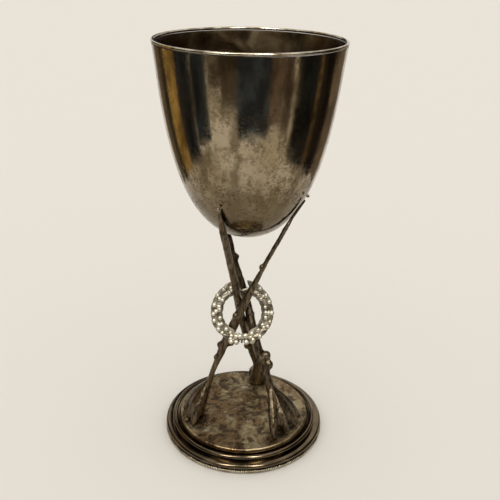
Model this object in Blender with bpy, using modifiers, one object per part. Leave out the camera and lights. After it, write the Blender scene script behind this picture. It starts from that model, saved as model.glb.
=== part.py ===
"""Goblet trophy: a thin bowl carried by three crossed branches, a laurel wreath round
their crossing, and a stepped round foot. Metres, +Z up, the origin in the middle of
the foot's underside, -Y to the front. Heights are above the table."""

import math
from dataclasses import dataclass

import bmesh
import bpy
from mathutils import Matrix, Vector, geometry, noise

MM = 0.001
FULL_TURN = 2 * math.pi

# Overall sizes
CUP_HEIGHT = 190.0 * MM
RIM_RADIUS = 40.0 * MM
FOOT_RADIUS = 39.4 * MM

# Fits
GAP = 0.3 * MM  # between two pieces that meet
STUD_FIT = 0.3 * MM  # round a stud in its hole

# Bowl and the wire on its lip
BOWL_DEPTH = 85.2 * MM  # outside, lip to lowest point
BOWL_WALL = 1.1 * MM
BOWL_BELLY = 34.1 * MM  # how far the round bottom reaches out before it turns up
BOWL_SIDE = 20.9 * MM  # how far the nearly straight side runs down from the lip
BOWL_FLARE = 0.14  # outward slope of the side at the lip
LIP_WIRE_RADIUS = 0.65 * MM

# Foot: a spun shell, the ground plate on it and the milled wire round its edge
FOOT_TOP = 5.7 * MM
FOOT_SHEET = 1.3 * MM
MOULDING_WIDTH = 7.4 * MM  # from the ground plate's edge out to the foot's edge
MOULDING_RISE = 1.2 * MM  # of the upper moulding above the foot's top
REST_WIDTH = 1.4 * MM  # of the flat ring that stands on the table
MILLED_WIRE_WIDTH = 1.5 * MM
MILLED_WIRE_HEIGHT = 1.4 * MM
GROUND_THICKNESS = 2.2 * MM
GROUND_EDGE = 0.9 * MM  # rounding of the plate's upper edge
GROUND_RELIEF = 0.45 * MM  # depth of the hollows in the rustic ground

# Studs, washers and nuts that hold the branches to the foot
STUD_RADIUS = 1.2 * MM
STUD_IN_ROOT = 3.6 * MM
STUD_SHOW = 0.4 * MM  # past the nut
STUD_INSET = 7.2 * MM  # of the stud's axis from the ground plate's edge
WASHER_RADIUS = 2.9 * MM
WASHER_THICKNESS = 0.5 * MM
NUT_RADIUS = 2.6 * MM  # across corners, halved
NUT_HEIGHT = 1.8 * MM

# Branches
CONTACT_RISE = 13.4 * MM  # of the branches' meeting with the bowl, above its lowest point
TIP_RADIUS = 0.8 * MM
CROSSING_RADIUS = 1.9 * MM
CROSSING_ALONG = 0.58  # share of the way from the bowl to the ankle
ROOT_RADIUS = 4.6 * MM
TOE_REACH = 0.5 * MM  # from a root's toe to the ground plate's edge
TOE_RADIUS = 1.7 * MM

# Wreath
WREATH_RADIUS = 12.3 * MM
WREATH_LEAN = math.radians(25)  # its upper side lies back
WREATH_SHIFT = -1.5 * MM  # of its middle, to the left of the axis
WREATH_ALONG = 0.588  # its middle's height, from the bowl contact down to the mean ankle
WREATH_THICKNESS = 2.9 * MM
WREATH_CLEAR = 1.5 * MM  # between its leaves and the leg that it stands in front of
SPRAY_STEM_RADIUS = 0.8 * MM
TAIL_FLARE = 2.7 * MM  # further out than the ring, of a stem's cut end
TAIL_DEGREES = -24
TIP_DEGREES = 166
LEAF_LENGTH = 6.6 * MM
LEAF_WIDTH = 3.3 * MM
LEAF_THICKNESS = 1.3 * MM
LEAF_TILT = 0.3 * MM  # forward, of a leaf's tip
LEAF_PAIRS = 7
FIRST_LEAF_DEGREES = 18
LEAF_PITCH_DEGREES = 22
BERRY_RADIUS = 0.95 * MM
LOW_BERRY_LIFT = 0.35 * MM
CROWN_SPREAD = 1.4 * MM  # further out that the last outer leaves stand, at the top
CROWN_DEGREES = 110  # where the outer leaves begin to spread
CROWN_RAMP = 40
TIE_WIRE_RADIUS = 0.4 * MM
SOLDER_RADIUS = 0.8 * MM

# Facets
ROUND_STEPS = 40
TUBE_STATIONS = 26

# Heights that follow from the sizes above
BOWL_BOTTOM = CUP_HEIGHT - BOWL_DEPTH
BOWL_EDGE = CUP_HEIGHT - 2 * LIP_WIRE_RADIUS - GAP
GROUND_RADIUS = FOOT_RADIUS - MOULDING_WIDTH
GROUND_BOTTOM = FOOT_TOP + GAP
GROUND_TOP = GROUND_BOTTOM + GROUND_THICKNESS
ROOT_BOTTOM = GROUND_TOP + GAP
STUD_CIRCLE = GROUND_RADIUS - STUD_INSET
WASHER_TOP = FOOT_TOP - FOOT_SHEET - GAP
NUT_TOP = WASHER_TOP - WASHER_THICKNESS - GAP
STUD_BOTTOM = NUT_TOP - NUT_HEIGHT - STUD_SHOW


@dataclass(frozen=True)
class Knot:
    """A pruned twig or swelling: where along the branch, which way it faces, its size."""

    along: float
    facing: float
    size: float
    reach: float = 0.8


@dataclass(frozen=True)
class Branch:
    """One branch, from its tip on the bowl down to its root on the foot. Angles are degrees
    round the axis from +X, and sway bends it off the straight line."""

    name: str
    top_angle: float
    tip_turn: float
    tip_rise: float
    ankle_radius: float
    ankle_angle: float
    ankle_height: float
    root_angle: float
    root_spread: float
    twig_radius: float
    leg_radius: float
    neck_radius: float
    sway: tuple
    knots: tuple


BRANCHES = (
    Branch(
        name="front",
        top_angle=-116,
        tip_turn=1.5,
        tip_rise=6.3 * MM,
        ankle_radius=22.3 * MM,
        ankle_angle=73,
        ankle_height=22.0 * MM,
        root_angle=74,
        root_spread=0.45,
        twig_radius=1.55 * MM,
        leg_radius=2.25 * MM,
        neck_radius=2.1 * MM,
        sway=((0.30, -0.6 * MM, -0.5 * MM), (0.60, -1.6 * MM, -2.1 * MM), (0.82, -1.1 * MM, -0.8 * MM)),
        knots=(Knot(0.47, -60, 1.4 * MM), Knot(0.84, 200, 1.5 * MM)),
    ),
    Branch(
        name="right",
        top_angle=-37,
        tip_turn=7.0,
        tip_rise=8.8 * MM,
        ankle_radius=15.9 * MM,
        ankle_angle=203,
        ankle_height=36.4 * MM,
        root_angle=191,
        root_spread=1.0,
        twig_radius=0.9 * MM,
        leg_radius=2.35 * MM,
        neck_radius=1.25 * MM,
        sway=((0.30, -0.7 * MM, 2.0 * MM), (0.57, -0.6 * MM, 3.6 * MM), (0.80, -0.3 * MM, 3.0 * MM)),
        knots=(
            Knot(0.03, -110, 0.9 * MM),
            Knot(0.08, 100, 0.8 * MM),
            Knot(0.31, 200, 1.2 * MM),
            Knot(0.645, 215, 1.5 * MM),
            Knot(0.84, 10, 1.4 * MM, 1.4),
            Knot(0.85, 190, 1.5 * MM, 0.9),
            Knot(0.93, 185, 1.1 * MM, 0.9),
        ),
    ),
    Branch(
        name="back",
        top_angle=125,
        tip_turn=1.0,
        tip_rise=6.0 * MM,
        ankle_radius=12.2 * MM,
        ankle_angle=-33,
        ankle_height=35.3 * MM,
        root_angle=-37,
        root_spread=1.15,
        twig_radius=1.35 * MM,
        leg_radius=2.3 * MM,
        neck_radius=1.9 * MM,
        sway=((0.35, -0.9 * MM, 0.6 * MM), (0.66, -0.6 * MM, 3.0 * MM), (0.82, -1.3 * MM, 1.0 * MM)),
        knots=(
            Knot(0.36, 10, 1.3 * MM, 0.9),
            Knot(0.70, 60, 1.3 * MM),
            Knot(0.92, 15, 2.0 * MM, 1.45),
            Knot(0.97, 15, 1.9 * MM, 1.4),
        ),
    ),
)

# Berries round the tie: degrees short of the wreath's lowest point, and how far out
LOW_BERRIES = ((-20, 2.2 * MM), (-10, 1.4 * MM), (-14, -0.7 * MM))

# The toes of a root: turn from the root's own angle, in degrees, and share of the full reach
TOES = ((-19, 0.96), (-6, 1.0), (8, 0.99), (19, 0.97))


# ---------------------------------------------------------------- scene and finishes


def clear_scene():
    for item in list(bpy.data.objects):
        bpy.data.objects.remove(item, do_unlink=True)


def new_collection(name, hidden=False):
    group = bpy.data.collections.new(name)
    group.hide_render = hidden
    bpy.context.scene.collection.children.link(group)
    return group


def finish(name, colour, roughness):
    """A metal finish: plain colour, roughness and full metallic value."""
    material = bpy.data.materials.new(name)
    material.use_nodes = True
    shader = material.node_tree.nodes["Principled BSDF"]
    shader.inputs["Base Color"].default_value = (*colour, 1.0)
    shader.inputs["Roughness"].default_value = roughness
    shader.inputs["Metallic"].default_value = 1.0
    return material


# ---------------------------------------------------------------- mesh tools


def add_piece(name, mesh, material, location=(0.0, 0.0, 0.0)):
    """A finished part of the trophy, parented to the trophy's empty."""
    piece = bpy.data.objects.new(name, mesh)
    piece.location = location
    piece.parent = ANCHOR
    mesh.materials.clear()
    mesh.materials.append(material)
    PARTS.objects.link(piece)
    return piece


def add_helper(name, mesh, location=(0.0, 0.0, 0.0)):
    """A cutter or guide, which isn't part of the trophy."""
    helper = bpy.data.objects.new(name, mesh)
    helper.location = location
    helper.hide_render = True
    helper.display_type = "WIRE"
    CUTTERS.objects.link(helper)
    return helper


def shade_round(mesh, sharp_degrees=40):
    mesh.shade_smooth()
    mesh.set_sharp_from_angle(angle=math.radians(sharp_degrees))


def evaluated_mesh(item, weld):
    """The object's mesh with its modifiers or bevel applied, loose caps welded."""
    graph = bpy.context.evaluated_depsgraph_get()
    mesh = bpy.data.meshes.new_from_object(item.evaluated_get(graph))
    mesh.transform(item.matrix_world)
    shape = bmesh.new()
    shape.from_mesh(mesh)
    bmesh.ops.remove_doubles(shape, verts=shape.verts, dist=weld)
    bmesh.ops.recalc_face_normals(shape, faces=shape.faces)
    shape.to_mesh(mesh)
    shape.free()
    return mesh


def turned(name, outline, material, steps=ROUND_STEPS, wall=None):
    """A turned piece. The outline is (radius, height) pairs, down its outer side."""
    mesh = bpy.data.meshes.new(name)
    shape = bmesh.new()
    points = [shape.verts.new((radius, 0.0, height)) for radius, height in outline]
    for first, second in zip(points, points[1:]):
        shape.edges.new((first, second))
    if wall is None and outline[0][0] > 0.0:
        shape.edges.new((points[-1], points[0]))
    shape.to_mesh(mesh)
    shape.free()
    piece = add_piece(name, mesh, material)
    screw = piece.modifiers.new("turn", "SCREW")
    screw.axis = "Z"
    screw.angle = FULL_TURN
    screw.steps = screw.render_steps = steps
    screw.use_merge_vertices = True
    screw.merge_threshold = 0.01 * MM
    screw.use_smooth_shade = True
    if wall is not None:
        shell = piece.modifiers.new("wall", "SOLIDIFY")
        shell.thickness = wall
        shell.offset = -1.0
        shell.use_even_offset = True
    return piece


def cylinder_mesh(name, radius, height, sides):
    """A plain cylinder standing on its own origin."""
    mesh = bpy.data.meshes.new(name)
    shape = bmesh.new()
    bmesh.ops.create_cone(
        shape, cap_ends=True, segments=sides, radius1=radius, radius2=radius, depth=height
    )
    bmesh.ops.translate(shape, verts=shape.verts, vec=(0.0, 0.0, height / 2))
    shape.to_mesh(mesh)
    shape.free()
    shade_round(mesh)
    return mesh


def blob_mesh(name, frame, subdivisions=2):
    """A ball of radius 1, stretched and placed by a 4x4 matrix."""
    mesh = bpy.data.meshes.new(name)
    shape = bmesh.new()
    bmesh.ops.create_icosphere(shape, subdivisions=subdivisions, radius=1.0, matrix=frame)
    shape.to_mesh(mesh)
    shape.free()
    return mesh


def ball_frame(centre, radius):
    return Matrix.Translation(centre) @ Matrix.Diagonal((radius, radius, radius, 1.0))


def smooth_route(knots, stations):
    """Stations along a Catmull-Rom curve through knots, which are (x, y, z, radius)."""
    rows = [Vector(knot) for knot in knots]
    rows = [2 * rows[0] - rows[1], *rows, 2 * rows[-1] - rows[-2]]
    spans = len(rows) - 3
    route = []
    for station in range(stations):
        place = min(station / (stations - 1) * spans, spans - 1e-9)
        span = int(place)
        t = place - span
        a, b, c, d = rows[span : span + 4]
        route.append(
            0.5
            * (
                2 * b
                + (c - a) * t
                + (2 * a - 5 * b + 4 * c - d) * t**2
                + (3 * b - a - 3 * c + d) * t**3
            )
        )
    return route


def tube_mesh(name, knots, stations, resolution=2):
    """A tapering tube with filled ends, along a smooth curve through the knots."""
    curve = bpy.data.curves.new(name, "CURVE")
    curve.dimensions = "3D"
    curve.bevel_depth = MM
    curve.bevel_resolution = resolution
    curve.use_fill_caps = True
    spline = curve.splines.new("POLY")
    spline.points.add(stations - 1)
    for point, row in zip(spline.points, smooth_route(knots, stations)):
        point.co = (*row[:3], 1.0)
        point.radius = row[3] / MM
    guide = bpy.data.objects.new(name, curve)
    CUTTERS.objects.link(guide)
    bpy.context.view_layer.update()
    mesh = evaluated_mesh(guide, weld=0.002 * MM)
    bpy.data.objects.remove(guide)
    bpy.data.curves.remove(curve)
    return mesh


def fused_mesh(name, meshes):
    """One closed mesh out of several that overlap."""
    bodies = [add_helper(f"{name}_{index}", mesh) for index, mesh in enumerate(meshes)]
    for other in bodies[1:]:
        union = bodies[0].modifiers.new("fuse", "BOOLEAN")
        union.operation = "UNION"
        union.solver = "EXACT"
        union.object = other
    bpy.context.view_layer.update()
    mesh = evaluated_mesh(bodies[0], weld=0.002 * MM)
    for body in bodies:
        bpy.data.objects.remove(body)
    mesh.name = name
    return mesh


def cut(piece, cutter):
    difference = piece.modifiers.new(cutter.name, "BOOLEAN")
    difference.operation = "DIFFERENCE"
    difference.solver = "EXACT"
    difference.object = cutter


def polar(radius, degrees, height):
    angle = math.radians(degrees)
    return Vector((radius * math.cos(angle), radius * math.sin(angle), height))


# ---------------------------------------------------------------- bowl


def bowl_outline(count):
    """Outside of the bowl, (radius, height) from its edge down to the axis."""
    edge_radius = RIM_RADIUS - BOWL_FLARE * (CUP_HEIGHT - BOWL_EDGE)
    edge = Vector((edge_radius, BOWL_EDGE))
    side = edge - Vector((BOWL_FLARE * BOWL_SIDE, BOWL_SIDE))
    belly = Vector((BOWL_BELLY, BOWL_BOTTOM))
    bottom = Vector((0.0, BOWL_BOTTOM))
    return [tuple(point) for point in geometry.interpolate_bezier(edge, side, belly, bottom, count)]


def bowl_surface(rise, degrees, stand_off):
    """A point stand_off clear of the bowl's outside, rise above its lowest point."""
    height = BOWL_BOTTOM + rise
    outline = bowl_outline(200)
    for (upper_radius, upper), (lower_radius, lower) in zip(outline, outline[1:]):
        if upper >= height >= lower:
            share = (upper - height) / (upper - lower)
            radius = upper_radius + share * (lower_radius - upper_radius)
            normal = Vector((upper - lower, lower_radius - upper_radius)).normalized()
            break
    return polar(radius + normal.x * stand_off, degrees, height + normal.y * stand_off)


def make_bowl():
    turned("bowl", bowl_outline(14), SILVER, wall=BOWL_WALL)


def make_lip_wire():
    mesh = bpy.data.meshes.new("lip_wire")
    bpy.ops.mesh.primitive_torus_add(
        major_segments=ROUND_STEPS,
        minor_segments=8,
        major_radius=RIM_RADIUS - LIP_WIRE_RADIUS,
        minor_radius=LIP_WIRE_RADIUS,
    )
    ring = bpy.context.object
    mesh = ring.data.copy()
    bpy.data.objects.remove(ring)
    shade_round(mesh, 60)
    add_piece("lip_wire", mesh, SILVER, (0.0, 0.0, CUP_HEIGHT - LIP_WIRE_RADIUS))


# ---------------------------------------------------------------- foot


def arc(centre_radius, centre_height, radius, start, end, steps):
    """Points of a moulding's round, angles in degrees from straight out, up positive."""
    points = []
    for step in range(steps + 1):
        angle = math.radians(start + (end - start) * step / steps)
        points.append(
            (centre_radius + radius * math.cos(angle), centre_height + radius * math.sin(angle))
        )
    return points


def foot_outline():
    """Section of the foot's shell, from the middle of its top round to the underside."""
    wire_seat = FOOT_RADIUS - MILLED_WIRE_WIDTH - GAP
    ledge = MILLED_WIRE_HEIGHT + 2 * GAP
    upper_round = MOULDING_RISE
    upper_centre = GROUND_RADIUS + GAP + 1.1 * MM + upper_round
    lower_round = 1.25 * MM
    lower_centre = FOOT_RADIUS - 0.15 * MM - lower_round
    lower_height = ledge + lower_round
    step_height = lower_height + lower_round - 0.15 * MM
    rest_inner = wire_seat - REST_WIDTH
    inner_edge = upper_centre + upper_round - FOOT_SHEET
    return [
        (0.0, FOOT_TOP),
        (GROUND_RADIUS + GAP, FOOT_TOP),
        *arc(upper_centre, FOOT_TOP, upper_round, 160, 0, 5),
        (upper_centre + upper_round + 0.1 * MM, step_height),
        *arc(lower_centre, lower_height, lower_round, 75, -75, 5),
        (wire_seat, ledge),
        (wire_seat, 0.0),
        (rest_inner, 0.0),
        (rest_inner - 0.2 * MM, ledge + 0.4 * MM),
        (inner_edge, FOOT_TOP - FOOT_SHEET),
        (0.0, FOOT_TOP - FOOT_SHEET),
    ]


def make_foot():
    foot = turned("foot", foot_outline(), BRONZED, steps=48)
    for branch in BRANCHES:
        cut(foot, stud_cutter(branch))


def stud_cutter(branch):
    """The hole for a stud, from below the foot up into the root."""
    name = f"stud_hole_{branch.name}"
    if name in CUTTERS.objects:
        return CUTTERS.objects[name]
    height = ROOT_BOTTOM + STUD_IN_ROOT + GAP
    mesh = cylinder_mesh(name, STUD_RADIUS + STUD_FIT, height, 12)
    return add_helper(name, mesh, polar(STUD_CIRCLE, branch.root_angle, 0.0))


def make_milled_wire():
    outer = FOOT_RADIUS
    inner = FOOT_RADIUS - MILLED_WIRE_WIDTH
    bottom = GAP
    top = bottom + MILLED_WIRE_HEIGHT
    crown = 0.3 * MM
    outline = [
        (inner, top),
        (outer - crown, top),
        (outer, top - crown),
        (outer, bottom + crown),
        (outer - crown, bottom),
        (inner, bottom),
    ]
    turned("milled_wire", outline, SILVER, steps=48)


def ground_hollow(x, y):
    """Depth of the rustic ground below its highest level."""
    coarse = noise.noise(Vector((x / (5.5 * MM), y / (5.5 * MM), 3.7)))
    fine = noise.noise(Vector((x / (2.4 * MM), y / (2.4 * MM), 9.1)))
    return GROUND_RELIEF * min(max(0.5 - 0.8 * coarse - 0.3 * fine, 0.0), 1.0)


def make_ground_plate():
    rings = 9
    flat = GROUND_RADIUS - GROUND_EDGE
    shape = bmesh.new()
    outline = [(flat * ring / rings, GROUND_TOP) for ring in range(rings + 1)]
    outline += arc(flat, GROUND_TOP - GROUND_EDGE, GROUND_EDGE, 60, 0, 2)
    outline += [(GROUND_RADIUS, GROUND_BOTTOM), (0.0, GROUND_BOTTOM)]
    points = [shape.verts.new((radius, 0.0, height)) for radius, height in outline]
    section = [shape.edges.new(pair) for pair in zip(points, points[1:])]
    bmesh.ops.spin(
        shape,
        geom=points + section,
        cent=(0.0, 0.0, 0.0),
        axis=(0.0, 0.0, 1.0),
        angle=FULL_TURN,
        steps=36,
        use_merge=True,
    )
    bmesh.ops.remove_doubles(shape, verts=shape.verts, dist=0.001 * MM)
    bmesh.ops.recalc_face_normals(shape, faces=shape.faces)
    for point in shape.verts:
        if point.co.z > GROUND_TOP - 0.01 * MM:
            point.co.z -= ground_hollow(point.co.x, point.co.y)
    mesh = bpy.data.meshes.new("ground_plate")
    shape.to_mesh(mesh)
    shape.free()
    shade_round(mesh, 60)
    plate = add_piece("ground_plate", mesh, BRONZED)
    for branch in BRANCHES:
        cut(plate, stud_cutter(branch))


# ---------------------------------------------------------------- branches


def branch_contact(branch):
    """The branch's axis where it meets the bowl."""
    return bowl_surface(CONTACT_RISE, branch.top_angle, branch.twig_radius + GAP)


def branch_tip(branch):
    rise = CONTACT_RISE + branch.tip_rise
    return bowl_surface(rise, branch.top_angle + branch.tip_turn, TIP_RADIUS + GAP)


def branch_ankle(branch):
    return polar(branch.ankle_radius, branch.ankle_angle, branch.ankle_height)


def stem_radius(branch, along):
    """Half thickness of a branch, along from 0 at the bowl to 1 at the ankle."""
    marks = (
        (0.0, branch.twig_radius),
        (0.30, branch.twig_radius + 0.05 * MM),
        (CROSSING_ALONG, CROSSING_RADIUS),
        (0.80, branch.leg_radius),
        (1.0, branch.neck_radius),
    )
    for (start, first), (end, second) in zip(marks, marks[1:]):
        if along <= end:
            share = (along - start) / (end - start)
            ease = share * share * (3 - 2 * share)
            return first + (second - first) * ease
    return branch.neck_radius


def stem_point(branch, along):
    """The branch's axis between the bowl and the ankle, with its sway."""
    marks = ((0.0, 0.0, 0.0), *branch.sway, (1.0, 0.0, 0.0))
    straight = branch_contact(branch).lerp(branch_ankle(branch), along)
    for start, end in zip(marks, marks[1:]):
        if along <= end[0]:
            share = (along - start[0]) / (end[0] - start[0])
            ease = share * share * (3 - 2 * share)
            break
    sway = [first + (second - first) * ease for first, second in zip(start[1:], end[1:])]
    return straight + Vector((*sway, 0.0))


def stem_at_height(branch, height):
    """The branch's axis where it passes a height between the ankle and the bowl."""
    top = branch_contact(branch).z
    along = (top - height) / (top - branch.ankle_height)
    return stem_point(branch, min(max(along, 0.0), 1.0))


def root_knots(branch):
    """The flare from the ankle down to the ground."""
    ankle = branch_ankle(branch)
    base = polar(STUD_CIRCLE, branch.root_angle, ROOT_BOTTOM)
    flare = [(0.35, 0.30), (0.68, 0.62), (1.0, 0.97)]
    knots = []
    for down, out in flare:
        place = ankle.lerp(base, out)
        place.z = ankle.z + (base.z - ankle.z) * down
        knots.append((*place, branch.neck_radius + (ROOT_RADIUS - branch.neck_radius) * down**2.2))
    return knots


def toe_mesh(branch, turn, reach):
    """One toe of a root, running out over the ground."""
    ankle = branch_ankle(branch)
    base = polar(STUD_CIRCLE, branch.root_angle, ROOT_BOTTOM)
    end_radius = (GROUND_RADIUS - TOE_REACH - TOE_RADIUS) * reach
    end_angle = branch.root_angle + turn * branch.root_spread
    end = polar(end_radius, end_angle, ROOT_BOTTOM + 0.25 * TOE_RADIUS)
    start = ankle.lerp(base, 0.30)
    middle = start.lerp(end, 0.55)
    middle.z += 0.6 * TOE_RADIUS
    knots = (
        (*start, branch.neck_radius * 0.9),
        (*middle, TOE_RADIUS * 1.3),
        (*start.lerp(end, 0.84), TOE_RADIUS * 1.1),
        (*end, TOE_RADIUS * 0.7),
    )
    return tube_mesh(f"toe_{branch.name}", knots, 9)


def knot_mesh(branch, knot):
    """A swelling that stands out from the branch's side."""
    side = polar(1.0, knot.facing, 0.0)
    centre = stem_point(branch, knot.along)
    centre += side * stem_radius(branch, knot.along) * knot.reach
    stretch = Matrix.Diagonal((knot.size, knot.size, knot.size * 1.25, 1.0))
    return blob_mesh(f"knot_{branch.name}", Matrix.Translation(centre) @ stretch)


def make_branch(branch):
    tip = branch_tip(branch)
    knots = [(*tip, TIP_RADIUS)]
    for step in range(9):
        along = step / 8
        knots.append((*stem_point(branch, along), stem_radius(branch, along)))
    knots += root_knots(branch)
    shapes = [tube_mesh(f"stem_{branch.name}", knots, TUBE_STATIONS)]
    shapes += [toe_mesh(branch, *toe) for toe in TOES]
    shapes += [knot_mesh(branch, knot) for knot in branch.knots]
    mesh = fused_mesh(f"branch_{branch.name}", shapes)
    shade_round(mesh, 70)
    piece = add_piece(f"branch_{branch.name}", mesh, BRONZED)
    cut(piece, GROUND_CUTTER)
    cut(piece, stud_cutter(branch))


def ground_cutter():
    """A block whose top is the plane that the roots stand on."""
    mesh = bpy.data.meshes.new("ground_plane")
    shape = bmesh.new()
    side = 4 * FOOT_RADIUS
    bmesh.ops.create_cube(shape, size=side)
    bmesh.ops.translate(shape, verts=shape.verts, vec=(0.0, 0.0, ROOT_BOTTOM - side / 2))
    shape.to_mesh(mesh)
    shape.free()
    return add_helper("ground_plane", mesh)


# ---------------------------------------------------------------- fasteners and solder


def make_stud(branch):
    length = ROOT_BOTTOM + STUD_IN_ROOT - STUD_BOTTOM
    name = f"stud_{branch.name}"
    mesh = cylinder_mesh(name, STUD_RADIUS, length, 12)
    add_piece(name, mesh, BRASS, polar(STUD_CIRCLE, branch.root_angle, STUD_BOTTOM))


def make_washer(branch):
    hole = STUD_RADIUS + STUD_FIT
    outline = [
        (hole, 0.0),
        (WASHER_RADIUS, 0.0),
        (WASHER_RADIUS, -WASHER_THICKNESS),
        (hole, -WASHER_THICKNESS),
    ]
    washer = turned(f"washer_{branch.name}", outline, BRASS, steps=16)
    washer.location = polar(STUD_CIRCLE, branch.root_angle, WASHER_TOP)


def make_nut(branch):
    name = f"nut_{branch.name}"
    place = polar(STUD_CIRCLE, branch.root_angle, NUT_TOP - NUT_HEIGHT)
    nut = add_piece(name, cylinder_mesh(name, NUT_RADIUS, NUT_HEIGHT, 6), BRASS, place)
    cut(nut, stud_cutter(branch))


def make_bowl_solder(branch):
    """A bead of solder on the bowl, just past the branch's tip."""
    name = f"bowl_solder_{branch.name}"
    tip = branch_tip(branch)
    above = CONTACT_RISE + branch.tip_rise + TIP_RADIUS + SOLDER_RADIUS + GAP
    place = bowl_surface(above, branch.top_angle + branch.tip_turn, SOLDER_RADIUS + GAP)
    apart = (place - tip).normalized()
    place = tip + apart * (TIP_RADIUS + SOLDER_RADIUS + GAP)
    clear = bowl_surface(place.z - BOWL_BOTTOM, branch.top_angle + branch.tip_turn, 0.0)
    outward = Vector((place.x - clear.x, place.y - clear.y, 0.0))
    place += outward.normalized() * max(SOLDER_RADIUS + 2 * GAP - outward.length, 0.0)
    mesh = blob_mesh(name, ball_frame(Vector(), SOLDER_RADIUS))
    shade_round(mesh, 80)
    add_piece(name, mesh, SOLDER, place)


# ---------------------------------------------------------------- wreath


def wreath_frame():
    """The wreath's own frame: its x to the right, its y up along the lean, its z forward.
    The lower side stands just clear of the right-hand branch's leg, in front of it."""
    contact = sum(branch_contact(branch).z for branch in BRANCHES) / len(BRANCHES)
    ankle = sum(branch.ankle_height for branch in BRANCHES) / len(BRANCHES)
    height = contact + (ankle - contact) * WREATH_ALONG
    low = height - WREATH_RADIUS * math.cos(WREATH_LEAN)
    leg = stem_at_height(BRANCHES[1], low)
    front = leg.y - BRANCHES[1].leg_radius - WREATH_CLEAR - WREATH_THICKNESS / 2
    middle = Vector((WREATH_SHIFT, front + WREATH_RADIUS * math.sin(WREATH_LEAN), height))
    right = Vector((1.0, 0.0, 0.0))
    up = Vector((0.0, math.sin(WREATH_LEAN), math.cos(WREATH_LEAN)))
    forward = right.cross(up)
    turn = Matrix((right, up, forward)).transposed().to_4x4()
    return Matrix.Translation(middle) @ turn


def spray_point(side, degrees, out=0.0, lift=0.0):
    """A point on a spray: degrees from the wreath's lowest point up its own side."""
    angle = math.radians(degrees)
    radius = WREATH_RADIUS + out
    return WREATH @ Vector((side * radius * math.sin(angle), -radius * math.cos(angle), lift))


def spray_lift(side, degrees):
    """The right spray passes in front of the left one where they cross."""
    apart = SPRAY_STEM_RADIUS + GAP / 2
    fade = min(max((degrees - 24) / 30, 0.0), 1.0)
    return side * apart * (1 - fade)


def stem_of_spray(name, side):
    tail = spray_point(side, TAIL_DEGREES, TAIL_FLARE, spray_lift(side, 0))
    knots = [(*tail, SPRAY_STEM_RADIUS * 1.15)]
    for degrees in (-12, 6, 22, 45, 70, 95, 120, 145, TIP_DEGREES):
        taper = 1.0 - 0.4 * max(degrees, 0) / TIP_DEGREES
        place = spray_point(side, degrees, 0.0, spray_lift(side, degrees))
        knots.append((*place, SPRAY_STEM_RADIUS * taper))
    return tube_mesh(name, knots, 22)


def leaf_mesh(name, side, degrees, way, lift):
    """A laurel leaf on the spray: way is 1 on the wreath's outer side and -1 inside."""
    base = spray_point(side, degrees, 0.0, lift)
    tip = spray_point(side, degrees + 20, way * 1.0 * MM, lift + LEAF_TILT)
    along = (tip - base).normalized()
    face = WREATH.to_3x3() @ Vector((0.0, 0.0, 1.0))
    across = face.cross(along).normalized()
    face = along.cross(across)
    spread = CROWN_SPREAD * max(way, 0) * max(degrees - CROWN_DEGREES, 0) / CROWN_RAMP
    centre = spray_point(side, degrees + 12, way * 1.35 * MM + spread, lift)
    turn = Matrix((along, across, face)).transposed().to_4x4()
    size = Matrix.Diagonal((LEAF_LENGTH / 2, LEAF_WIDTH / 2, LEAF_THICKNESS / 2, 1.0))
    return blob_mesh(name, Matrix.Translation(centre) @ turn @ size)


def make_spray(name, side):
    shapes = [stem_of_spray(name, side)]
    for pair in range(LEAF_PAIRS):
        degrees = FIRST_LEAF_DEGREES + pair * LEAF_PITCH_DEGREES
        lift = spray_lift(side, degrees)
        for way in (1, -1):
            shapes.append(leaf_mesh(name, side, degrees, way, lift))
        berry = spray_point(side, degrees + 4, (3.2 * (pair % 2) - 1.6) * MM, lift + 0.55 * MM)
        shapes.append(blob_mesh(name, ball_frame(berry, BERRY_RADIUS), subdivisions=1))
    for degrees, out in LOW_BERRIES:
        berry = spray_point(side, degrees, out, spray_lift(side, degrees) + side * LOW_BERRY_LIFT)
        shapes.append(blob_mesh(name, ball_frame(berry, BERRY_RADIUS), subdivisions=1))
    mesh = fused_mesh(name, shapes)
    shade_round(mesh, 60)
    add_piece(name, mesh, SILVER)


def make_tie():
    """The binding round both stems at the crossing, its hole along the wreath's x."""
    reach = 2 * SPRAY_STEM_RADIUS + GAP / 2 + GAP + TIE_WIRE_RADIUS
    bpy.ops.mesh.primitive_torus_add(
        major_segments=20, minor_segments=8, major_radius=reach, minor_radius=TIE_WIRE_RADIUS
    )
    ring = bpy.context.object
    mesh = ring.data.copy()
    bpy.data.objects.remove(ring)
    mesh.transform(Matrix.Rotation(math.pi / 2, 4, "Y"))
    mesh.transform(WREATH.to_3x3().to_4x4())
    shade_round(mesh, 60)
    add_piece("wreath_tie", mesh, SILVER, spray_point(1, 0))


def corner_by_leg():
    """Behind the wreath's band and beside the right-hand branch's leg, touching neither."""
    branch = BRANCHES[1]
    band = spray_point(-1, 40)
    leg = stem_at_height(branch, band.z)
    aside = branch.leg_radius + GAP + SOLDER_RADIUS
    back = WREATH_THICKNESS / 2 + GAP + SOLDER_RADIUS
    return Vector((leg.x - aside, band.y + back, band.z))


def gap_by_crossing():
    """Between the wreath's upper side and the front branch, which passes before it."""
    branch = BRANCHES[0]
    band = spray_point(-1, 160)
    stem = stem_at_height(branch, band.z)
    before = band.y - SPRAY_STEM_RADIUS
    behind = stem.y + CROSSING_RADIUS
    return Vector((stem.x, (before + behind) / 2, band.z))


def make_wreath_solder(name, place):
    mesh = blob_mesh(name, ball_frame(Vector(), SOLDER_RADIUS))
    shade_round(mesh, 80)
    add_piece(name, mesh, SOLDER, place)


# ---------------------------------------------------------------- the trophy

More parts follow.
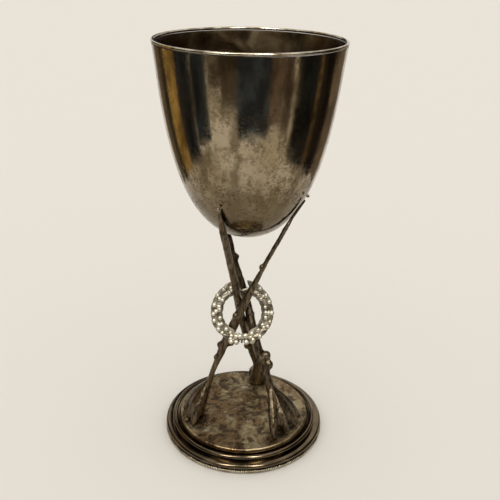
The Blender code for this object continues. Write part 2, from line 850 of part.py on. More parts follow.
clear_scene()
PARTS = new_collection("goblet_trophy")
CUTTERS = new_collection("cutters", hidden=True)
ANCHOR = bpy.data.objects.new("trophy", None)
PARTS.objects.link(ANCHOR)
SILVER = finish("tarnished_silver", (0.42, 0.38, 0.31), 0.22)
BRONZED = finish("bronzed_silver", (0.24, 0.19, 0.13), 0.38)
BRASS = finish("old_brass", (0.45, 0.34, 0.17), 0.40)
SOLDER = finish("soft_solder", (0.40, 0.39, 0.37), 0.45)
WREATH = wreath_frame()
GROUND_CUTTER = ground_cutter()

make_bowl()
make_lip_wire()
for each in BRANCHES:
    make_branch(each)
    make_stud(each)
    make_washer(each)
    make_nut(each)
    make_bowl_solder(each)
make_spray("wreath_left", -1)
make_spray("wreath_right", 1)
make_tie()
make_wreath_solder("wreath_solder_front", corner_by_leg())
make_wreath_solder("wreath_solder_back", gap_by_crossing())
make_ground_plate()
make_foot()
make_milled_wire()
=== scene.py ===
"""Looks of the goblet trophy: a tarnished silver bowl on three crossed branches, a
laurel wreath round their crossing and a stepped foot with a rustic ground. Every
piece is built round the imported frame, in metres, +Z up, -Y to the front."""

import logging
import math
import random
from dataclasses import dataclass, field
from enum import Enum
from functools import cache
from typing import Callable, Sequence

import bmesh
import bpy
import numpy as np
from mathutils import Matrix, Vector, geometry, noise


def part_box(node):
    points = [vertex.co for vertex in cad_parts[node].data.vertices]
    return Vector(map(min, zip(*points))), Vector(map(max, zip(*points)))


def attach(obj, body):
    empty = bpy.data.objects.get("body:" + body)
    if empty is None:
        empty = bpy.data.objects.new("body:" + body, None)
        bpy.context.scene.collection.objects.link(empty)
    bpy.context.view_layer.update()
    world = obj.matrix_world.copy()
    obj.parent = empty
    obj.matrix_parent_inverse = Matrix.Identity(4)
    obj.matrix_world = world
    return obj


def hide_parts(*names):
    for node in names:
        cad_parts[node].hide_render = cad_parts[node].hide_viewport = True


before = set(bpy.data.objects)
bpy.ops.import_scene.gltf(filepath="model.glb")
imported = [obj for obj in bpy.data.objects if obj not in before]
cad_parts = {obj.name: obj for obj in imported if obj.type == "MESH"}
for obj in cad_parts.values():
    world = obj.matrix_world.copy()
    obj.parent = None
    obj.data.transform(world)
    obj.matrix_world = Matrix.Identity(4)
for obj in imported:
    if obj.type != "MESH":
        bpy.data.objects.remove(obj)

LOG = logging.getLogger("goblet_trophy")
MM = 0.001
FULL_TURN = 2 * math.pi
BODY = "root"
Colour = tuple[float, float, float]
Outline = list[tuple[float, float]]


class Slot(Enum):
    """The material slots of the finishes."""

    BOWL = "bowl_silver"
    EDGE = "edge_silver"
    FOOT = "foot_silver"
    GROUND = "rustic_ground"
    BARK = "branch_bark"
    WREATH = "wreath_silver"
    SOLDER = "solder"
    BRASS = "fastener_brass"


# ---------------------------------------------------------------- node materials


@dataclass
class NodeSheet:
    """A material's node tree, with one short method for each kind of node."""

    name: str
    material: bpy.types.Material = field(init=False)

    def __post_init__(self) -> None:
        """Makes the material, with the Object coordinates that every pattern reads."""
        self.material = bpy.data.materials.new(self.name)
        self.material.use_nodes = True
        self.tree = self.material.node_tree
        self.shader = self.tree.nodes["Principled BSDF"]
        self.place = self.add("ShaderNodeTexCoord").outputs["Object"]

    def add(self, kind: str, **settings: object) -> bpy.types.Node:
        """Adds a node and sets its properties.

        Args:
            kind: The node's Blender type.
            settings: Values of the node's own properties.

        Returns:
            The new node.
        """
        node = self.tree.nodes.new(kind)
        for key, value in settings.items():
            setattr(node, key, value)
        return node

    def feed(self, target: bpy.types.NodeSocket, value: object) -> None:
        """Links a socket to the target, or sets the target's own value.

        Args:
            target: The input socket.
            value: An output socket, a number or a colour.
        """
        if isinstance(value, bpy.types.NodeSocket):
            self.tree.links.new(value, target)
        else:
            target.default_value = value

    def mapped(self, stretch: Sequence[float]) -> bpy.types.NodeSocket:
        """The Object coordinates stretched by a factor along each axis.

        Args:
            stretch: Factor on each axis.

        Returns:
            The stretched coordinates.
        """
        node = self.add("ShaderNodeMapping")
        node.inputs["Scale"].default_value = stretch
        self.feed(node.inputs["Vector"], self.place)
        return node.outputs["Vector"]

    def noise(
        self,
        grain: float,
        detail: float = 4.0,
        rough: float = 0.55,
        distort: float = 0.0,
        stretch: Sequence[float] = (1.0, 1.0, 1.0),
    ) -> bpy.types.NodeSocket:
        """Cloudy noise.

        Args:
            grain: Size of its largest features, in metres.
            detail: Octaves.
            rough: Weight of the finer octaves.
            distort: How far the clouds are pulled about.
            stretch: Factor on each axis of the pattern.

        Returns:
            The noise value, about 0.5 in the middle.
        """
        node = self.add("ShaderNodeTexNoise")
        self.feed(node.inputs["Vector"], self.mapped(stretch))
        node.inputs["Scale"].default_value = 1.0 / grain
        node.inputs["Detail"].default_value = detail
        node.inputs["Roughness"].default_value = rough
        node.inputs["Distortion"].default_value = distort
        return node.outputs["Fac"]

    def cells(self, grain: float, feature: str = "F1") -> bpy.types.NodeSocket:
        """Distance to scattered points, which are a grain apart.

        Args:
            grain: Distance between the points, in metres.
            feature: Which of the pattern's distances it gives.

        Returns:
            The distance to the nearest point.
        """
        node = self.add("ShaderNodeTexVoronoi", feature=feature)
        self.feed(node.inputs["Vector"], self.place)
        node.inputs["Scale"].default_value = 1.0 / grain
        return node.outputs["Distance"]

    def height(self, low: float, high: float) -> bpy.types.NodeSocket:
        """0 below a height and 1 above another, along Z.

        Args:
            low: Height that gives 0, in metres.
            high: Height that gives 1, in metres.

        Returns:
            The share of the way up.
        """
        split = self.add("ShaderNodeSeparateXYZ")
        self.feed(split.inputs["Vector"], self.place)
        return self.between(split.outputs["Z"], low, high)

    def between(
        self, value: bpy.types.NodeSocket, low: float, high: float, start: float = 0.0, end: float = 1.0
    ) -> bpy.types.NodeSocket:
        """The value mapped smoothly from one range to another, and held inside it.

        Args:
            value: The socket to map.
            low: Where the range starts.
            high: Where it ends.
            start: Result at low.
            end: Result at high.

        Returns:
            The mapped value.
        """
        node = self.add("ShaderNodeMapRange", interpolation_type="SMOOTHSTEP")
        self.feed(node.inputs["Value"], value)
        for key, number in zip(("From Min", "From Max", "To Min", "To Max"), (low, high, start, end)):
            node.inputs[key].default_value = number
        return node.outputs["Result"]

    def maths(self, operation: str, first: object, second: object) -> bpy.types.NodeSocket:
        """One sum of two values.

        Args:
            operation: Blender's name for the sum.
            first: A number or a socket.
            second: A number or a socket.

        Returns:
            The sum's result.
        """
        node = self.add("ShaderNodeMath", operation=operation)
        self.feed(node.inputs[0], first)
        self.feed(node.inputs[1], second)
        return node.outputs["Value"]

    def mix(self, share: object, first: object, second: object) -> bpy.types.NodeSocket:
        """A colour between two, by the share of the second.

        Args:
            share: 0 gives the first and 1 the second.
            first: A colour or a socket.
            second: A colour or a socket.

        Returns:
            The mixed colour.
        """
        node = self.add("ShaderNodeMix", data_type="RGBA")
        self.feed(node.inputs["Factor"], share)
        for socket, value in zip((node.inputs[6], node.inputs[7]), (first, second)):
            self.feed(socket, (*value, 1.0) if isinstance(value, tuple) else value)
        return node.outputs[2]

    def bump(self, layers: Sequence[tuple[bpy.types.NodeSocket, float]]) -> None:
        """Relief of the shading, from heights and their depths in metres.

        Args:
            layers: Pairs of a height's socket and its depth in metres.
        """
        normal = None
        for value, depth in layers:
            node = self.add("ShaderNodeBump")
            node.inputs["Strength"].default_value = 1.0
            node.inputs["Distance"].default_value = depth
            self.feed(node.inputs["Height"], value)
            if normal is not None:
                self.feed(node.inputs["Normal"], normal)
            normal = node.outputs["Normal"]
        self.feed(self.shader.inputs["Normal"], normal)

    def metal(self, colour: object, roughness: object) -> bpy.types.Material:
        """Sets the shader as metal and gives the finished material.

        Args:
            colour: A colour or the socket that gives it.
            roughness: A number or the socket that gives it.

        Returns:
            The finished material.
        """
        base = (*colour, 1.0) if isinstance(colour, tuple) else colour
        self.feed(self.shader.inputs["Base Color"], base)
        self.feed(self.shader.inputs["Roughness"], roughness)
        self.shader.inputs["Metallic"].default_value = 1.0
        return self.material


@dataclass(frozen=True)
class BowlSilver:
    """Old mirror silver: clear on the side, freckled and clouded with tarnish towards the bottom, and
    mixed there towards olive as painted shade for the darker reflection of the lower bowl.
    """

    clean: Colour = (0.42, 0.35, 0.24)
    warm: Colour = (0.31, 0.245, 0.145)
    smoke: Colour = (0.125, 0.09, 0.052)
    freckle: Colour = (0.045, 0.026, 0.013)
    # olive: painted shade, the darker reflection of the lower bowl painted into its colour.
    olive: Colour = (0.140, 0.105, 0.056)
    polish: float = 0.085
    dull: float = 0.34
    clear_of_tarnish_and_shade_from: float = 0.150
    tarnish_and_shade_below: float = 0.118

    def material(self) -> bpy.types.Material:
        """Builds the node material.

        Returns:
            The finished material.
        """
        sheet = NodeSheet("bowl_silver")
        clouds = sheet.noise(16 * MM, detail=6.0, distort=0.6)
        streaks = sheet.noise(7 * MM, detail=5.0, stretch=(1.0, 1.0, 0.35))
        grime = sheet.noise(1.6 * MM, detail=5.0, rough=0.7)
        # The height mask: 1 towards the bottom, where it places tarnish freckles and grime and the olive
        # painted shade.
        high = sheet.height(self.tarnish_and_shade_below, self.clear_of_tarnish_and_shade_from)
        low = sheet.maths("SUBTRACT", 1.0, high)
        spots = sheet.between(sheet.cells(1.1 * MM), 0.20, 0.33, 1.0, 0.0)
        patches = sheet.between(sheet.noise(9 * MM, detail=3.0), 0.45, 0.58)
        worn = sheet.maths("MULTIPLY", spots, patches)
        worn = sheet.maths("MULTIPLY", worn, sheet.between(low, 0.0, 0.5, 0.35, 1.0))
        blotch = sheet.between(sheet.noise(7 * MM, detail=8.0, rough=0.74), 0.42, 0.55)
        fine = sheet.maths("MULTIPLY", sheet.between(grime, 0.43, 0.55), blotch)
        fine = sheet.maths("MULTIPLY", fine, sheet.between(low, 0.0, 0.5, 0.6, 1.0))
        colour = sheet.mix(sheet.between(clouds, 0.42, 0.68), self.clean, self.warm)
        # Painted shade: the lower bowl is mixed towards olive, standing in for its darker reflection,
        # not tarnish.
        colour = sheet.mix(sheet.maths("MULTIPLY", low, 0.9), colour, self.olive)
        smoky = sheet.maths("MULTIPLY", sheet.between(streaks, 0.45, 0.62), 0.8)
        colour = sheet.mix(smoky, colour, self.smoke)
        colour = sheet.mix(sheet.maths("MULTIPLY", fine, 0.9), colour, self.smoke)
        colour = sheet.mix(sheet.maths("MULTIPLY", worn, 0.9), colour, self.freckle)
        roughness = sheet.between(clouds, 0.35, 0.75, self.polish, self.polish + 0.09)
        roughness = sheet.maths("MAXIMUM", roughness, sheet.maths("MULTIPLY", fine, self.dull))
        roughness = sheet.maths("MAXIMUM", roughness, sheet.maths("MULTIPLY", worn, self.dull + 0.15))
        waves = sheet.noise(12 * MM, detail=2.0)
        sheet.bump([(waves, 0.10 * MM), (grime, 0.012 * MM), (worn, -0.03 * MM)])
        return sheet.metal(colour, roughness)


@dataclass(frozen=True)
class InsideTarnishAndShade:
    """The bowl's inside: brown with old tarnish, greyer where cloths have rubbed it, both colours kept
    dark as painted shade for the bowl's hollow.
    """

    tarnish: Colour = (0.060, 0.038, 0.019)
    rubbed: Colour = (0.19, 0.145, 0.082)

    def material(self) -> bpy.types.Material:
        """Builds the node material.

        Returns:
            The finished material.
        """
        sheet = NodeSheet("inside_tarnish_and_shade")
        clouds = sheet.noise(14 * MM, detail=6.0, distort=0.8)
        rings = sheet.noise(1.2 * MM, detail=3.0, stretch=(0.12, 0.12, 1.0))
        share = sheet.between(clouds, 0.44, 0.78)
        # Painted shade: tarnish and rubbed are both darkened for the shade in the bowl's hollow, on top
        # of the tarnish's own colour.
        colour = sheet.mix(share, self.tarnish, self.rubbed)
        colour = sheet.mix(sheet.between(rings, 0.5, 0.8, 0.0, 0.35), colour, self.tarnish)
        sheet.bump([(rings, 0.01 * MM), (clouds, 0.05 * MM)])
        return sheet.metal(colour, sheet.between(clouds, 0.3, 0.7, 0.22, 0.42))


@dataclass(frozen=True)
class EdgeSilver:
    """Wire that hands have kept bright on its crown, dark in its corners."""

    bright: Colour = (0.72, 0.66, 0.54)
    dark: Colour = (0.20, 0.155, 0.095)

    def material(self) -> bpy.types.Material:
        """Builds the node material.

        Returns:
            The finished material.
        """
        sheet = NodeSheet("edge_silver")
        clouds = sheet.noise(6 * MM, detail=5.0)
        crown = sheet.between(sheet.add("ShaderNodeNewGeometry").outputs["Pointiness"], 0.48, 0.56)
        share = sheet.maths("MULTIPLY", crown, sheet.between(clouds, 0.3, 0.6))
        colour = sheet.mix(share, self.dark, self.bright)
        scratches = sheet.noise(0.5 * MM, detail=4.0)
        sheet.bump([(scratches, 0.01 * MM)])
        return sheet.metal(colour, sheet.between(clouds, 0.3, 0.7, 0.14, 0.32))


@dataclass(frozen=True)
class FootSilver:
    """Polished brown tarnish on the mouldings."""

    deep: Colour = (0.085, 0.062, 0.038)
    olive: Colour = (0.150, 0.115, 0.072)
    bare: Colour = (0.30, 0.25, 0.17)

    def material(self) -> bpy.types.Material:
        """Builds the node material.

        Returns:
            The finished material.
        """
        sheet = NodeSheet("foot_silver")
        clouds = sheet.noise(13 * MM, detail=6.0, distort=0.7)
        smears = sheet.noise(4 * MM, detail=5.0, rough=0.65)
        grit = sheet.noise(0.7 * MM, detail=4.0, rough=0.7)
        colour = sheet.mix(sheet.between(clouds, 0.38, 0.64), self.deep, self.olive)
        colour = sheet.mix(sheet.between(smears, 0.60, 0.82, 0.0, 0.6), colour, self.bare)
        colour = sheet.mix(sheet.between(grit, 0.62, 0.78, 0.0, 0.5), colour, self.deep)
        roughness = sheet.between(smears, 0.3, 0.75, 0.09, 0.20)
        sheet.bump([(clouds, 0.05 * MM), (grit, 0.004 * MM)])
        return sheet.metal(colour, roughness)


@dataclass(frozen=True)
class RusticGround:
    """Rough cast ground: brown in its hollows, olive where it was rubbed, and pale grey painted
    highlights on the tops of its lumps.
    """

    hollow: Colour = (0.065, 0.042, 0.024)
    brown: Colour = (0.21, 0.135, 0.068)
    olive: Colour = (0.33, 0.265, 0.155)
    painted_glint: Colour = (0.66, 0.60, 0.47)

    def material(self) -> bpy.types.Material:
        """Builds the node material.

        Returns:
            The finished material.
        """
        sheet = NodeSheet("rustic_ground")
        clouds = sheet.noise(15 * MM, detail=6.0, distort=1.2)
        lumps = sheet.noise(5.5 * MM, detail=6.0, rough=0.6, distort=0.5)
        grit = sheet.noise(0.7 * MM, detail=4.0, rough=0.7)
        colour = sheet.mix(sheet.between(clouds, 0.42, 0.60), self.brown, self.olive)
        colour = sheet.mix(sheet.between(lumps, 0.38, 0.52, 0.9, 0.0), colour, self.hollow)
        # Painted highlight: pale glints painted on the tops of the lumps.
        colour = sheet.mix(sheet.between(lumps, 0.60, 0.74, 0.0, 0.7), colour, self.painted_glint)
        colour = sheet.mix(sheet.between(grit, 0.60, 0.75, 0.0, 0.45), colour, self.hollow)
        sheet.bump([(lumps, 0.9 * MM), (grit, 0.06 * MM)])
        return sheet.metal(colour, sheet.between(clouds, 0.3, 0.7, 0.24, 0.42))


@dataclass(frozen=True)
class BranchBark:
    """Bark modelled in metal: olive brown, its ridges rubbed pale, its furrows near black."""

    furrow: Colour = (0.042, 0.029, 0.017)
    bark: Colour = (0.125, 0.093, 0.056)
    rubbed: Colour = (0.26, 0.215, 0.145)

    def material(self) -> bpy.types.Material:
        """Builds the node material.

        Returns:
            The finished material.
        """
        sheet = NodeSheet("branch_bark")
        clouds = sheet.noise(7 * MM, detail=5.0, distort=0.5)
        grain = sheet.noise(1.1 * MM, detail=6.0, rough=0.65, stretch=(1.0, 1.0, 0.16))
        grit = sheet.noise(0.4 * MM, detail=3.0)
        ridge = sheet.add("ShaderNodeNewGeometry").outputs["Pointiness"]
        colour = sheet.mix(sheet.between(grain, 0.38, 0.56), self.furrow, self.bark)
        patch = sheet.between(clouds, 0.42, 0.70)
        rub = sheet.maths("MULTIPLY", patch, sheet.between(grain, 0.45, 0.65))
        colour = sheet.mix(sheet.maths("MULTIPLY", rub, 0.75), colour, self.rubbed)
        colour = sheet.mix(sheet.between(ridge, 0.53, 0.62, 0.0, 0.7), colour, self.rubbed)
        sheet.bump([(grain, 0.16 * MM), (grit, 0.025 * MM)])
        return sheet.metal(colour, sheet.between(clouds, 0.3, 0.7, 0.30, 0.46))


@dataclass(frozen=True)
class WreathSilver:
    """Pale silver leaves and berries, dark between them."""

    pale: Colour = (0.33, 0.30, 0.24)
    grey: Colour = (0.16, 0.14, 0.10)
    dark: Colour = (0.055, 0.042, 0.028)

    def material(self) -> bpy.types.Material:
        """Builds the node material.

        Returns:
            The finished material.
        """
        sheet = NodeSheet("wreath_silver")
        clouds = sheet.noise(4 * MM, detail=5.0)
        grit = sheet.noise(0.5 * MM, detail=3.0)
        ridge = sheet.add("ShaderNodeNewGeometry").outputs["Pointiness"]
        colour = sheet.mix(sheet.between(clouds, 0.35, 0.62), self.grey, self.pale)
        colour = sheet.mix(sheet.between(ridge, 0.40, 0.49, 0.85, 0.0), colour, self.dark)
        colour = sheet.mix(sheet.between(grit, 0.60, 0.76, 0.0, 0.4), colour, self.dark)
        sheet.bump([(grit, 0.03 * MM)])
        return sheet.metal(colour, sheet.between(clouds, 0.3, 0.7, 0.36, 0.52))


@dataclass(frozen=True)
class BerryPaintedHighlight:
    """Berries coloured pale and bright as a painted highlight, standing in for glints of light on the
    wreath.
    """

    # Both colours are pale tones of a painted highlight, not of wear.
    bright: Colour = (0.70, 0.66, 0.56)
    worn: Colour = (0.46, 0.42, 0.32)

    def material(self) -> bpy.types.Material:
        """Builds the node material.

        Returns:
            The finished material.
        """
        sheet = NodeSheet("berry_painted_highlight")
        clouds = sheet.noise(1.6 * MM, detail=4.0)
        # Painted highlight: the berries' colours stand in for glints of light.
        colour = sheet.mix(sheet.between(clouds, 0.34, 0.56), self.worn, self.bright)
        sheet.bump([(clouds, 0.03 * MM)])
        return sheet.metal(colour, sheet.between(clouds, 0.3, 0.7, 0.42, 0.56))


@dataclass(frozen=True)
class SolderGrey:
    """Lumpy lead-grey solder with a dull skin."""

    light: Colour = (0.46, 0.42, 0.34)
    dark: Colour = (0.15, 0.125, 0.09)

    def material(self) -> bpy.types.Material:
        """Builds the node material.

        Returns:
            The finished material.
        """
        sheet = NodeSheet("solder")
        clouds = sheet.noise(1.2 * MM, detail=5.0)
        grit = sheet.noise(0.3 * MM, detail=3.0)
        colour = sheet.mix(sheet.between(clouds, 0.35, 0.65), self.dark, self.light)
        sheet.bump([(clouds, 0.03 * MM), (grit, 0.01 * MM)])
        return sheet.metal(colour, sheet.between(grit, 0.3, 0.7, 0.36, 0.54))


@dataclass(frozen=True)
class FastenerBrass:
    """Old brass of the studs, washers and nuts, brown away from its edges."""

    bright: Colour = (0.58, 0.44, 0.20)
    brown: Colour = (0.21, 0.145, 0.065)

    def material(self) -> bpy.types.Material:
        """Builds the node material.

        Returns:
            The finished material.
        """
        sheet = NodeSheet("fastener_brass")
        clouds = sheet.noise(1.8 * MM, detail=5.0)
        turning = sheet.noise(0.25 * MM, detail=2.0, stretch=(0.2, 0.2, 1.0))
        ridge = sheet.add("ShaderNodeNewGeometry").outputs["Pointiness"]
        colour = sheet.mix(sheet.between(clouds, 0.36, 0.66), self.brown, self.bright)
        colour = sheet.mix(sheet.between(ridge, 0.52, 0.60), colour, self.bright)
        sheet.bump([(turning, 0.02 * MM), (clouds, 0.03 * MM)])
        return sheet.metal(colour, sheet.between(clouds, 0.3, 0.7, 0.26, 0.46))


# ---------------------------------------------------------------- mesh helpers


@cache
def node_box(name: str) -> tuple[Vector, Vector]:
    """Lowest and highest corner of a CAD node."""
    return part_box(name)


def merged_copy(node: str) -> bmesh.types.BMesh:
    """A CAD node's mesh as an editable shape, its loose triangles joined.

    Args:
        node: The CAD node's name.

    Returns:
        The editable shape.
    """
    shape = bmesh.new()
    shape.from_mesh(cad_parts[node].data)
    bmesh.ops.remove_doubles(shape, verts=shape.verts, dist=0.001 * MM)
    return shape


def spun(outline: Sequence[tuple[float, float]], steps: int, closed: bool = False) -> bmesh.types.BMesh:
    """A shape turned round the Z axis.

    Args:
        outline: (radius, height) points of the section.
        steps: Facets round the axis.
        closed: True where the last point joins the first.

    Returns:
        The turned shape, welded, its normals outward.
    """
    shape = bmesh.new()
    points = [shape.verts.new((radius, 0.0, height)) for radius, height in outline]
    edges = [shape.edges.new(pair) for pair in zip(points, points[1:])]
    if closed:
        edges.append(shape.edges.new((points[-1], points[0])))
    bmesh.ops.spin(
        shape,
        geom=points + edges,
        cent=(0.0, 0.0, 0.0),
        axis=(0.0, 0.0, 1.0),
        angle=FULL_TURN,
        steps=steps,
        use_merge=True,
    )
    bmesh.ops.remove_doubles(shape, verts=shape.verts, dist=0.002 * MM)
    bmesh.ops.recalc_face_normals(shape, faces=shape.faces)
    return shape


def arc(centre: Vector, radius: float, start: float, end: float, steps: int) -> Outline:
    """Points of a round in a section.

    Args:
        centre: Its middle, as radius and height.
        radius: Its radius.
        start: First angle in degrees, 0 straight out and 90 up.
        end: Last angle in degrees.
        steps: Spans between its points.

    Returns:
        The (radius, height) points.
    """
    points = []
    for step in range(steps + 1):
        angle = math.radians(start + (end - start) * step / steps)
        points.append((centre.x + radius * math.cos(angle), centre.y + radius * math.sin(angle)))
    return points


def roughen(shape: bmesh.types.BMesh, height: Callable[[Vector, Vector], float]) -> None:
    """Moves each point along its normal.

    Args:
        shape: The shape to change.
        height: Gives the distance from the point's place and its normal.
    """
    shape.normal_update()
    moves = [(point, point.normal * height(point.co, point.normal)) for point in shape.verts]
    for point, move in moves:
        point.co += move


def soften(shape: bmesh.types.BMesh, times: int, strength: float = 0.5) -> None:
    """Smooths a shape, each time moving its points towards their neighbours.

    Args:
        shape: The shape to change.
        times: How many passes.
        strength: Share of the way that a point moves in one pass.
    """
    for _ in range(times):
        bmesh.ops.smooth_vert(
            shape,
            verts=shape.verts,
            factor=strength,
            use_axis_x=True,
            use_axis_y=True,
            use_axis_z=True,
        )


def remeshed(shape: bmesh.types.BMesh, voxel: float, swell: float = 0.0) -> bmesh.types.BMesh:
    """The shape rebuilt as one even skin.

    Args:
        shape: A closed shape, which is used up.
        voxel: Size of the skin's facets.
        swell: Distance the skin is first moved out, which closes narrow valleys.

    Returns:
        The new shape.
    """
    mesh = bpy.data.meshes.new("skin")
    shape.to_mesh(mesh)
    shape.free()
    holder = bpy.data.objects.new("skin", mesh)
    bpy.context.scene.collection.objects.link(holder)
    if swell:
        puff = holder.modifiers.new("swell", "DISPLACE")
        puff.mid_level = 0.0
        puff.strength = swell
    skin = holder.modifiers.new("skin", "REMESH")
    skin.mode = "VOXEL"
    skin.voxel_size = voxel
    graph = bpy.context.evaluated_depsgraph_get()
    result = bmesh.new()
    result.from_object(holder, graph)
    bpy.data.objects.remove(holder)
    bpy.data.meshes.remove(mesh)
    return result


def fractal(place: Vector, grain: float, seed: float = 0.0, octaves: int = 4) -> float:
    """Layered noise, about -1 to 1, with features of the grain's size."""
    return noise.fractal(place / grain + Vector((seed, seed, seed)), 1.0, 2.0, octaves)


def place_piece(
    name: str,
    shape: bmesh.types.BMesh,
    materials: Sequence[bpy.types.Material],
    replaced: Sequence[str],
    sharp: float = 40.0,
) -> bpy.types.Object:
    """Puts a finished shape in the scene, riding on the trophy's one body.

    Args:
        name: The piece's name.
        shape: Its shape, which is used up.
        materials: Its finishes, in the order of its faces' material index.
        replaced: The CAD nodes that it stands for.
        sharp: Edges that turn more than this many degrees stay sharp.

    Returns:
        The new object.
    """
    mesh = bpy.data.meshes.new(name)
    shape.to_mesh(mesh)
    shape.free()
    mesh.shade_smooth()
    mesh.set_sharp_from_angle(angle=math.radians(sharp))
    for material in materials:
        mesh.materials.append(material)
    piece = bpy.data.objects.new(name, mesh)
    bpy.context.scene.collection.objects.link(piece)
    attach(piece, BODY)
    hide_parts(*replaced)
    LOG.info("%s: %d faces, for %s", name, len(mesh.polygons), ", ".join(replaced))
    return piece


# ---------------------------------------------------------------- bowl


@dataclass
class Bowl:
    """The raised bowl and the wire on its lip."""

    wall: float = 1.1 * MM
    belly: float = 34.1 * MM
    side: float = 20.9 * MM
    flare: float = 0.14
    wave: float = 0.10 * MM
    wave_grain: float = 22 * MM
    steps: int = 288
    stations: int = 110

    def outline(self) -> Outline:
        """Section of the outside, from the lip down to the axis.

        Returns:
            The (radius, height) points.
        """
        low, high = node_box("bowl")
        edge = Vector((high.x, high.z))
        side = edge - Vector((self.flare * self.side, self.side))
        bottom = Vector((0.0, low.z))
        belly = Vector((self.belly, low.z))
        curve = geometry.interpolate_bezier(edge, side, belly, bottom, self.stations)
        return [tuple(point) for point in curve]

    def inner_outline(self, outer: Outline) -> Outline:
        """Section of the inside, a wall's thickness in from the outside.

        Args:
            outer: The outside's points, from the lip down.

        Returns:
            The (radius, height) points, from the axis up.
        """
        points = []
        for before, here, after in zip([outer[0], *outer], outer, [*outer[1:], outer[-1]]):
            run = Vector((after[0] - before[0], after[1] - before[1])).normalized()
            points.append((max(here[0] + run.y * self.wall, 0.0), here[1] - run.x * self.wall))
        top = outer[0][1]
        points = [(radius, min(height, top)) for radius, height in points]
        points[-1] = (0.0, outer[-1][1] + self.wall)
        return points[::-1]

    def hammered(self, place: Vector, _normal: Vector) -> float:
        """The slight waves that raising by hammer leaves in the sheet, none at the lip.

        Args:
            place: A point of the surface.
            _normal: Its direction outward; not used.

        Returns:
            The distance to move the point, in metres.
        """
        lip = node_box("bowl")[1].z
        fade = min(max((lip - place.z) / (10 * MM), 0.0), 1.0)
        level = Vector((place.x, place.y, place.z * 0.6))
        return -fade * self.wave * (0.5 + 0.5 * fractal(level, self.wave_grain, 4.2, 2))

    def dress(self) -> None:
        """Builds the bowl in its outside and inside finishes."""
        outer = self.outline()
        inner = self.inner_outline(outer)
        shape = spun(outer[::-1] + inner[::-1], self.steps)
        axis_up = Vector((0.0, 0.0, 1.0))
        for face in shape.faces:
            middle = face.calc_center_median()
            outward = Vector((middle.x, middle.y, 0.0)).normalized()
            facing_in = face.normal.dot(outward) < 0.0 or face.normal.dot(axis_up) > 0.5
            face.material_index = 1 if facing_in else 0
        roughen(shape, self.hammered)
        finishes = [BowlSilver().material(), InsideTarnishAndShade().material()]
        place_piece("raised_bowl", shape, finishes, ["bowl"])

    def dress_lip(self, finish: bpy.types.Material) -> None:
        """Builds the wire that stiffens the lip.

        Args:
            finish: The piece's material.
        """
        low, high = node_box("lip_wire")
        radius = (high.z - low.z) / 2
        centre = Vector((high.x - radius, (low.z + high.z) / 2))
        section = arc(centre, radius, 0, 360, 20)[:-1]
        shape = spun(section, self.steps, closed=True)
        place_piece("lip_roll", shape, [finish], ["lip_wire"])


# ---------------------------------------------------------------- foot


